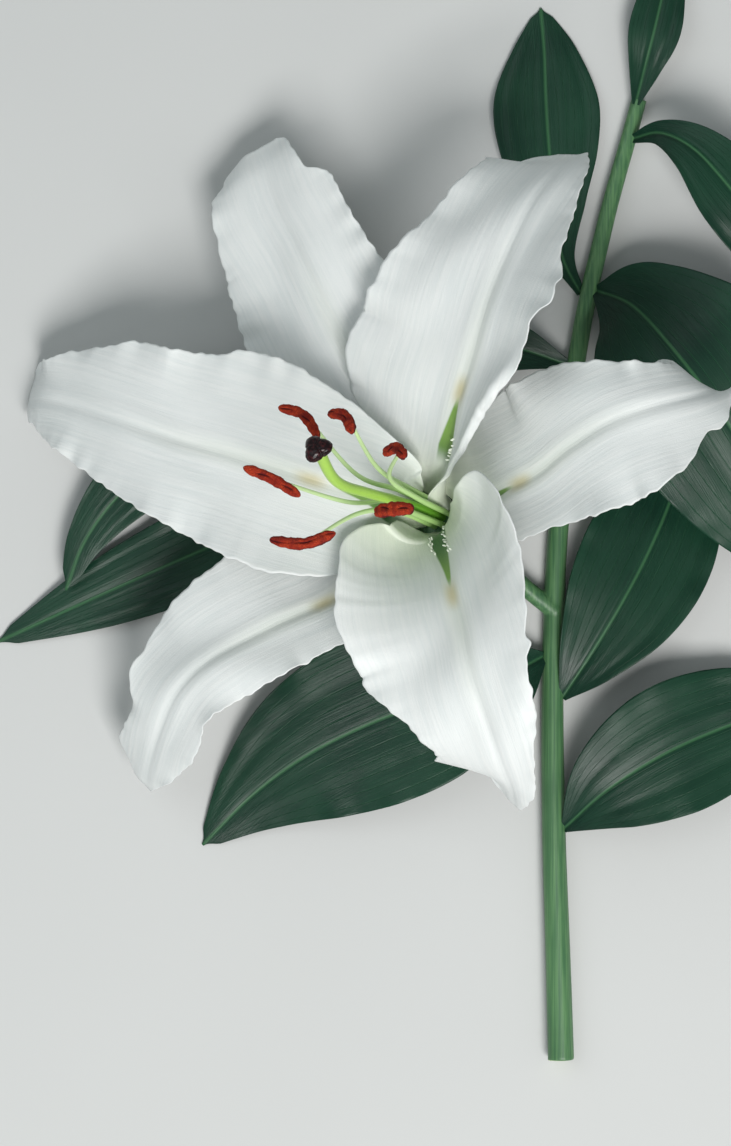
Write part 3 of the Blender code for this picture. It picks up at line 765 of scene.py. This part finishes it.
def tepal_rows(ring, azimuth, foot, throat, *rest):
    """A tepal's rows from foot to tip, with the ways aside and up from its midrib. Close to the throat the
    midrib runs nearly along the bloom's axis, so the way aside is evened out before it is squared up."""
    out = outward(azimuth)
    base = out * ring + AXIS * (GAP + FOOT_LIFT)
    past = base + AXIS * THROAT_UP + out * THROAT_OUT
    stations = np.array([(*base, *foot), (*past, *throat), *rest])
    stations[:, :3] += BLOOM
    rows = spline(stations, ROWS + 1)
    rows[:, 3:] = soften(rows[:, 3:], WIDTH_SPAN)
    along = unit(np.gradient(rows[:, :3], axis=0))
    aside = soften(np.cross(AXIS, along), ASIDE_SPAN)
    aside = unit(aside - np.sum(aside * along, -1)[:, None] * along)
    return rows, aside, np.cross(along, aside)


def make_tepal(name, ring, azimuth, *stations):
    """One tepal, with its waves, frills, folds, groove, keel and papillae."""
    rows, aside, face = tepal_rows(ring, azimuth, *stations)
    middle = rows[:, :3]
    share, run = shares_and_run(middle)
    lips = np.zeros((2, ROWS + 1))
    if name in ROLLED:
        which, start, full, fade, end, angle = ROLLED[name]
        lips[which] = angle * between(run, start, full, fade, end)
    widths = fitted_widths(rows, aside, face, lips, MARGINS[name])
    us = np.linspace(-1, 1, COLUMNS + 1)
    us = np.sign(us) * abs(us) ** 0.9
    past_throat = smooth(share, *PAST_THROAT)
    grid = np.empty((ROWS + 1, COLUMNS + 1, 3))
    side = np.empty((ROWS + 1, COLUMNS + 1))
    for which, sign in enumerate((1, -1)):
        columns = np.flatnonzero(us * sign >= 0)
        shares = abs(us[columns])
        seed = azimuth + 40 * which
        nicks = MARGIN_NICK * waves(run, NICK_LENGTHS, seed) * past_throat
        width = widths[which] + nicks * (1 - smooth(share, 0.94, 1))
        reach, lift = profile(width, rows[:, 5 + which], lips[which], shares)
        turn = azimuth + (SIDE_TURN if which == 0 else 0)
        lift += np.outer(TEPAL_WAVE * ripple(run, turn) * open_part(share), shares**3)
        strength = 0.5 + 0.8 * waves(run, (52.0, 33.0), seed + 2)
        frill = FRILL * waves(run, FRILL_LENGTHS, seed + 1) * strength * past_throat
        lift += np.outer(frill, shares**5)
        side[:, columns] = sign * width[:, None] * shares
        steps = sign * reach[..., None] * aside[:, None] + lift[..., None] * face[:, None]
        grid[:, columns] = middle[:, None] + steps
        if name in PULLS and PULLS[name][0] == which:
            _, start, full, fade, end, pull = PULLS[name]
            pulled = np.outer(between(run, start, full, fade, end), shares**2)
            grid[:, columns] += pulled[..., None] * np.array(pull)
    folds = SWELL * swell(run[:, None], side, azimuth) * past_throat[:, None] * (1 - abs(us) ** 3)
    deep = smooth(share, 0.02, 0.12) * (1 - 0.7 * smooth(share, 0.7, 1))
    from_groove = abs(side - MARKINGS[name][3])
    ridges = RIDGE_HEIGHT * bell(from_groove - RIDGE_ASIDE, RIDGE_WIDTH)
    groove = -GROOVE_DEPTH * bell(from_groove, GROOVE_WIDTH) + ridges
    grid += (folds + deep[:, None] * groove)[..., None] * face[:, None]
    normals = unit(np.cross(np.gradient(grid, axis=0), np.gradient(grid, axis=1)))
    normals *= np.sign(np.sum(normals[:, COLUMNS // 2] * face, -1))[:, None, None]
    thinner = (1 - 0.4 * smooth(share, 0.9, 1))[:, None]
    half = SKIN / 2 * (1 - 0.55 * abs(us) ** 4)[None, :] * thinner
    front = grid + normals * half[..., None]
    back = grid - normals * (half + keel(side, share, *TEPAL_KEEL))[..., None]
    for sheet in (front, back):
        sheet[..., 2] = np.maximum(sheet[..., 2], FLOOR_CLEARANCE)
    mesh = blade_mesh(name + "_look", front, back, blade_values(share, us, run, side))
    paint = petal_paint(name + "_skin", *MARKINGS[name])
    link(name + "_look", mesh, paint, "petal", name)
    for number, row in enumerate(PAPILLAE.get(name, ())):
        make_papillae("%s_papillae_%d" % (name, number + 1), front, normals, run, side, *row)


def make_papillae(name, front, normals, run, side, start, end, offset, spread, count):
    """A row of small pale bumps that stand on a tepal beside its nectary."""
    rng = np.random.default_rng(count)
    rounds, faces = [], []
    for place in np.linspace(start, end, count):
        row = int(np.argmin(abs(run - place - rng.uniform(-0.6, 0.6))))
        column = int(np.argmin(abs(side[row] - offset - rng.uniform(-spread, spread))))
        foot, up = front[row, column], normals[row, column]
        first, second = across(up)
        tall = rng.uniform(0.5, 1.0)
        leans = rng.uniform(-0.3, 0.3, 2)
        lean = first * leans[0] + second * leans[1]
        faces += tube_faces(len(PAPILLA_SHAPE), PAPILLA_SIDES, len(rounds) * PAPILLA_SIDES)
        for height, radius in PAPILLA_SHAPE:
            ring = circle(first, second, PAPILLA_SIDES)
            rounds.append(foot + (up + lean) * height * tall + ring * radius)
    look = Paint(name).finish(Base_Color=PAPILLA_PALE, Roughness=0.5)
    link(name, closed_mesh(name, np.vstack(rounds), faces), look, "petal")


# How finely the stamens are made, how a filament ends, and how deep it goes into its anther.
FILAMENT_ROWS = 81
FILAMENT_SIDES = 20
ANTHER_ROWS = 120
ANTHER_SIDES = 56
FILAMENT_END = (1.0, 0.92, 0.8, 0.6)
SUNK = 0.3


def rings(centres, radii, sides, up=UP, shape=None):
    """Rings of points round a line. shape(turns, share) scales the radius round each ring."""
    centres = np.asarray(centres, float)
    along = unit(np.gradient(centres, axis=0))
    aside = unit(np.cross(up, along))
    over = np.cross(along, aside)
    turns = turns_round(sides)
    rounds = []
    for i, (centre, a, o, radius) in enumerate(zip(centres, aside, over, radii)):
        scale = np.ones(sides) if shape is None else shape(turns, i / (len(centres) - 1))
        ring = np.outer(np.cos(turns) * scale, a) + np.outer(np.sin(turns) * scale, o)
        rounds.append(centre + radius * ring)
    return rounds


def make_stamen(name, azimuth, middle, points, bow, length, radius, sag, filament_look, anther_look):
    """A filament from the bloom's base to the underside of its anther, and the anther across its tip."""
    out = outward(azimuth)
    middle = BLOOM + np.array(middle)
    base = BLOOM + out * FILAMENT_RING + AXIS * GAP
    pointing = unit(points)
    under = unit(AXIS - (AXIS @ pointing) * pointing)
    bend = np.array(bow) * ANTHER_BOW
    slant = np.linalg.norm(np.cross(unit(middle - base), under))
    end = middle + bend * 0.5 - under * (radius * ANTHER_FLATNESS + FILAMENT_TIP_RADIUS * slant - SUNK)
    reach = np.linalg.norm(end - base)
    heading = AXIS * reach * (1 - FILAMENT_SPREAD) + (end - base) * FILAMENT_SPREAD
    parting = base + heading * 0.66 + sag
    near = base + AXIS * reach / 3 + out * 0.6
    line = spline([base - AXIS * 1.2, near, parting, end], FILAMENT_ROWS)
    share = np.linspace(0, 1, FILAMENT_ROWS)
    radii = FILAMENT_BASE_RADIUS + (FILAMENT_TIP_RADIUS - FILAMENT_BASE_RADIUS) * share**1.2
    radii[-len(FILAMENT_END):] *= FILAMENT_END
    look = "filament_%s_look" % name
    rounds = rings(line, radii, FILAMENT_SIDES, OTHER_SIDE)
    mesh = tube_mesh(look, rounds, {"along": np.repeat(share, FILAMENT_SIDES)})
    link(look, mesh, filament_look, "filament", "filament_" + name)
    make_anther(name, azimuth, middle, pointing, bend, length, radius, anther_look)


def make_anther(name, azimuth, middle, pointing, bend, length, radius, anther_look):
    """A bowed anther of four lobes, with a groove above, one below and one on each flank."""
    half = pointing * length / 2 * 0.985
    body = spline([middle - half - bend, middle + bend * 0.5, middle + half - bend], ANTHER_ROWS)
    t = np.linspace(-1, 1, ANTHER_ROWS)
    rng = np.random.default_rng(azimuth)
    wander = 0.35 * waves(t * 9, (17.0, 9.0), azimuth + 1)
    full = np.sqrt(np.clip(1 - abs(t) ** 5, 0.02, 1))
    size = radius * full * (1 + 0.07 * waves(t * 9, (7.0, 4.1, 2.6), azimuth))
    grain = rng.normal(0, 1, (ANTHER_ROWS, ANTHER_SIDES))
    grain = (grain + np.roll(grain, 1, 0) + np.roll(grain, 1, 1) + np.roll(grain, 1, (0, 1))) / 4
    depth = np.zeros((ANTHER_ROWS, ANTHER_SIDES))
    underside_shade = np.zeros((ANTHER_ROWS, ANTHER_SIDES))

    def groove(turns, at, width):
        return bell(np.sin((turns - at) / 2), width)

    def lobes(turns, share):
        i = round(share * (ANTHER_ROWS - 1))
        twisted = turns + wander[i]
        top = groove(twisted, math.pi / 2, 0.12) * (0.55 + 0.45 * math.cos(7 * t[i] + azimuth))
        bottom = groove(turns, -math.pi / 2, 0.16)
        flank = groove(turns, 0, 0.10) + groove(turns, math.pi, 0.10)
        depth[i] = np.clip(top + bottom + 0.4 * flank, 0, 1)
        # Painted shade: darkest on the side turned away from the bloom's face, and a little towards the ends.
        underside_shade[i] = 0.5 - 0.5 * np.sin(twisted) + 0.25 * smooth(abs(t[i]), 0.8, 1)
        flat = 0.72 + 0.26 * abs(np.cos(turns))
        return flat * (1 - 0.38 * top - 0.3 * bottom - 0.12 * flank + 0.04 * grain[i])

    look = "anther_%s_look" % name
    mesh = tube_mesh(look, rings(body, size, ANTHER_SIDES, AXIS, lobes), {"depth": depth, "under": underside_shade})
    link(look, mesh, anther_look, "anther", "anther_" + name)


# How finely the pistil and stigma are made.
PISTIL_ROWS = 161
PISTIL_SIDES = 36
STIGMA_ROWS = 48
STIGMA_SIDES = 96


def make_pistil(look, stigma_look):
    """The six-ribbed ovary with its style, and the three-lobed stigma on its end."""
    facing = unit(np.array(STIGMA_MIDDLE) - PISTIL_LINE[-1])
    end = np.array(STIGMA_MIDDLE) - facing * 0.6
    line = spline([-AXIS * 1.0, *PISTIL_LINE, end], PISTIL_ROWS) + BLOOM
    share = np.linspace(0, 1, PISTIL_ROWS)
    ovary = 1 - smooth(share, 0.22, 0.30)
    radii = STYLE_RADIUS - 0.25 * np.sin(math.pi * share) + (OVARY_RADIUS - STYLE_RADIUS + 0.05) * ovary
    radii += 0.3 * smooth(share, 0.3, 0.4) + 0.3 * smooth(share, 0.93, 1)

    def ribs(turns, at):
        count, depth = (6, 0.07) if at < 0.26 else (3, 0.035)
        return 1 - depth * (1 + np.cos(count * turns)) / 2

    rounds = rings(line, radii, PISTIL_SIDES, OTHER_SIDE, ribs)
    mesh = tube_mesh("pistil_look", rounds, {"along": np.repeat(share, PISTIL_SIDES)})
    link("pistil_look", mesh, look, "pistil", "pistil")
    first, second = across(facing)
    rng = np.random.default_rng(5)
    turns = turns_round(STIGMA_SIDES)
    rounds = []
    for i in range(STIGMA_ROWS):
        tilt = math.pi * (i + 0.5) / STIGMA_ROWS
        cleft = bell(np.cos(1.5 * turns), 0.16) * math.sin(tilt) ** 0.6
        deep = 0.11 * cleft * (1 if tilt < 1.9 else 0.5)
        lobe = 1 + 0.17 * np.cos(3 * turns) * math.sin(tilt) - deep
        lump = 0.02 * rng.normal(0, 1, STIGMA_SIDES)
        radius = STIGMA_RADIUS * 1.02 * (lobe + (lump + np.roll(lump, 1) + np.roll(lump, 2)) / 2)
        flat = circle(first, second, STIGMA_SIDES) * (math.sin(tilt) * radius)[:, None]
        dent = 0.25 * bell(tilt, 0.5)
        rise = math.cos(tilt) * STIGMA_RADIUS * STIGMA_FLATNESS * (1 - dent) * (1 - 0.15 * cleft)
        rounds.append(BLOOM + np.array(STIGMA_MIDDLE) + flat + facing * np.asarray(rise)[:, None])
    link("stigma_look", tube_mesh("stigma_look", rounds), stigma_look, "stigma", "stigma")


# How finely the leaves are made, how deep their feet sit in the stem, and their waves, frills, pleats,
# thickness and keel.
LEAF_ROWS = 150
LEAF_COLUMNS = 64
LEAF_SUNK = 1.6
LEAF_WAVE = 0.4
LEAF_FRILL = 0.22
PLEAT = 0.13
LEAF_SKIN = 0.6
LEAF_KEEL = (0.5, 0.8)


def stem_line():
    """The stem's middle points and radii, as in the part."""
    flat = spline([(x, y, 0) for x, y in STEM_LINE], STEM_STEPS + 1)
    radii = STEM_FOOT_RADIUS + (STEM_TIP_RADIUS - STEM_FOOT_RADIUS) * np.linspace(0, 1, STEM_STEPS + 1)
    flat[:, 2] = radii * math.cos(math.pi / STEM_SIDES)
    return flat, radii


def make_leaf(look, name, foot, *rest):
    """One leaf, with its foot a little inside the stem's skin."""
    centres, radii = stem_line()
    node = np.array([np.interp(foot, centres[:, 1], column) for column in centres.T])
    along = unit(node - [np.interp(foot - 1, centres[:, 1], column) for column in centres.T])
    heading = unit(np.array(rest[0][:3]) - node)
    beside = unit(heading - (heading @ along) * along)
    clear = np.interp(foot, centres[:, 1], radii) + GAP + LEAF_FOOT * abs(heading @ along)
    base = node + beside * (clear - LEAF_SUNK)
    stations = [(*base, LEAF_FOOT, 40)]
    for x, y, z, half in rest:
        stations.append((x, y, z, half, 26 - 34 * (len(stations) / len(rest))))
    rows = spline(stations, LEAF_ROWS + 1)
    middle = rows[:, :3]
    heading = unit(np.gradient(middle, axis=0))
    aside = unit(np.cross(UP, heading))
    face = np.cross(heading, aside)
    share, run = shares_and_run(middle)
    us = np.linspace(-1, 1, LEAF_COLUMNS + 1)
    grid = np.empty((LEAF_ROWS + 1, LEAF_COLUMNS + 1, 3))
    phase = len(name)
    seed = sum(map(ord, name))
    open_share = open_part(share)
    width = rows[:, 3] * (1 - 0.75 * smooth(share, 0.965, 1))
    side = us[None, :] * width[:, None]
    rng = np.random.default_rng(seed)
    pleat_rate, pleat_turn = rng.uniform(9, 13), rng.uniform(0, 6)
    pleated = between(share, 0.03, 0.2, 0.75, 1) * np.clip(width / 10, 0, 1)
    creased = 1 - smooth(share, 0.8, 1)
    reach, rise = profile(width, rows[:, 4], np.zeros(LEAF_ROWS + 1), abs(us))
    for j, u in enumerate(us):
        points = middle + np.sign(u) * aside * reach[:, j, None] + face * rise[:, j, None]
        turn = phase + (SIDE_TURN if u > 0 else 0)
        frill = LEAF_FRILL * waves(run, (17.0, 11.0), seed + (u > 0))
        lift = (LEAF_WAVE * ripple(run, turn) * abs(u) ** 3 + frill * abs(u) ** 4) * open_share
        finer = math.sin(u * pleat_rate * 1.7 + 2 * pleat_turn)
        lift += PLEAT * (math.sin(u * pleat_rate + pleat_turn) + 0.6 * finer) * pleated
        lift -= 0.5 * bell(side[:, j], 0.9) * creased
        grid[:, j] = points + face * lift[:, None]
    normals = unit(np.cross(np.gradient(grid, axis=0), np.gradient(grid, axis=1)))
    normals = normals * np.sign(normals[..., 2:])
    half = LEAF_SKIN / 2 * (1 - 0.5 * abs(us) ** 4)
    front = grid + normals * half[None, :, None]
    back = grid - normals * (half[None, :] + keel(side, share, *LEAF_KEEL))[..., None]
    lowest = np.minimum(back[..., 2], front[..., 2])
    lifted = np.maximum(FLOOR_CLEARANCE - lowest, 0)
    front[..., 2] += lifted
    back[..., 2] += lifted
    mesh = blade_mesh(name + "_look", front, back, blade_values(share, us, run, side))
    link(name + "_look", mesh, look, "leaf", name)


# How finely the stem and its stalk are made, and how deep the stem's ridges are.
STEM_ROWS = 420
STALK_ROWS = 90
FLARE_ROWS = 50
ROUND_SIDES = 40
STEM_RIDGE_DEPTH = 0.022

# The stalk's flare into the bloom's base: depths below the base and the radius at each.
FLARE = [(9, STALK_RADIUS), (6, 3.4), (4.4, 5), (3, 6.6), (1.8, RECEPTACLE_RADIUS), (0, RECEPTACLE_RADIUS)]

# How finely the stem and stalk are grown into one skin.
SKIN_VOXEL = 0.45


def make_stem(look):
    """The stem with its stalk, swollen a little where leaves and the stalk leave it, in one skin."""
    centres, radii = stem_line()
    fine = spline(np.column_stack([centres, radii]), STEM_ROWS)
    line, width = fine[:, :3], fine[:, 3].copy()
    for foot, *_ in LEAVES.values():
        width += 0.45 * bell(line[:, 1] - foot, 3.2)
    width += 0.5 * bell(line[:, 1], 4.5)
    width *= 1 + 0.012 * waves(line[:, 1], (31.0, 19.0, 11.0), 3)
    width = np.minimum(width, line[:, 2] - FLOOR_CLEARANCE)

    def ridges(turns, share):
        return 1 - STEM_RIDGE_DEPTH * (1 + np.cos(5 * turns + 9 * share)) / 2

    outer = width / math.cos(math.pi / STEM_SIDES) * 0.985
    stem_rounds = rings(line, outer, ROUND_SIDES, UP, ridges)
    stalk_points = spline([*STALK_LINE, BLOOM - AXIS * FLARE[0][0]], STALK_ROWS)
    top = spline([(*(BLOOM - AXIS * depth), radius) for depth, radius in FLARE], FLARE_ROWS)[1:]
    stalk_size = np.full(STALK_ROWS, STALK_RADIUS) + 0.5 * np.exp(-np.linspace(0, 9, STALK_ROWS))
    size = np.concatenate([stalk_size, top[:, 3]])
    size[-1] = RECEPTACLE_RADIUS - 0.8
    stalk_rounds = rings(np.vstack([stalk_points, top[:, :3]]), size, ROUND_SIDES, OTHER_SIDE)
    faces = tube_faces(len(stem_rounds), ROUND_SIDES)
    faces += tube_faces(len(stalk_rounds), ROUND_SIDES, len(stem_rounds) * ROUND_SIDES)
    mesh = closed_mesh("stem_look", np.vstack(stem_rounds + stalk_rounds), faces)
    stem = link("stem_look", mesh, look, "stem", "stem")
    skin = stem.modifiers.new("skin", "REMESH")
    skin.mode = "VOXEL"
    skin.voxel_size = SKIN_VOXEL * MM
    skin.use_smooth_shade = True
    even = stem.modifiers.new("even", "SMOOTH")
    even.iterations = 4
    even.factor = 0.5


def make_floor():
    mesh = bpy.data.meshes.new("floor")
    mesh.from_pydata([(-4, -4, 0), (4, -4, 0), (4, 4, 0), (-4, 4, 0)], [], [(0, 1, 2, 3)])
    floor = bpy.data.objects.new("floor", mesh)
    bpy.context.scene.collection.objects.link(floor)
    p = Paint("floor")
    mottle = p.mix(p.noise(p.place(), 8.0), *FLOOR_GREYS)
    mesh.materials.append(p.finish(Base_Color=mottle, Roughness=0.8))


# Each light: its place in metres, its side in metres, its power in watts and its colour.
LIGHTS = {
    "key": ((0.30, -0.85, 1.3), 0.7, 24, (1.0, 0.99, 0.975)),
    "fill": ((-0.9, 0.5, 1.2), 1.2, 5, (0.90, 0.97, 1.0)),
}


def make_lights():
    for name, (place, size, power, colour) in LIGHTS.items():
        data = bpy.data.lights.new(name, "AREA")
        data.energy = power
        data.size = size
        data.color = colour
        light = bpy.data.objects.new(name, data)
        bpy.context.scene.collection.objects.link(light)
        light.location = place
        aim = Vector((-0.02, 0, 0.03)) - light.location
        light.rotation_euler = aim.to_track_quat("-Z", "Y").to_euler()
    world = bpy.data.worlds.new("studio")
    bpy.context.scene.world = world
    world.use_nodes = True
    sky = world.node_tree.nodes["Background"].inputs
    sky["Color"].default_value = (0.87, 0.96, 0.96, 1)
    sky["Strength"].default_value = 0.32


def make_camera():
    """A camera straight above that looks down, set by the photograph's frame."""
    data = bpy.data.cameras.new("camera")
    camera = bpy.data.objects.new("camera", data)
    bpy.context.scene.collection.objects.link(camera)
    camera.location = (CAMERA - ORIGIN) * MM
    data.sensor_width = 36.0
    data.lens = FOCAL_PIXELS / PHOTO_HEIGHT * data.sensor_width
    data.clip_start, data.clip_end = (0.01, 100)
    bpy.context.scene.camera = camera


def main():
    make_camera()
    make_floor()
    bpy.context.scene.view_settings.view_transform = "Standard"
    make_lights()
    for name, shape in TEPALS.items():
        make_tepal(name, *shape)
    filament_look = plain_tissue("filament_skin", *FILAMENT_GREENS, 0.4)
    anther_look = anther_paint()
    for name, shape in STAMENS.items():
        make_stamen(name, *shape, filament_look, anther_look)
    pistil_look = plain_tissue("pistil_skin", *PISTIL_GREENS, 0.3, (0.25, 0.33))
    make_pistil(pistil_look, stigma_paint())
    leaf_look = leaf_paint()
    for name, line in LEAVES.items():
        make_leaf(leaf_look, name, *line)
    make_stem(stem_paint())


main()
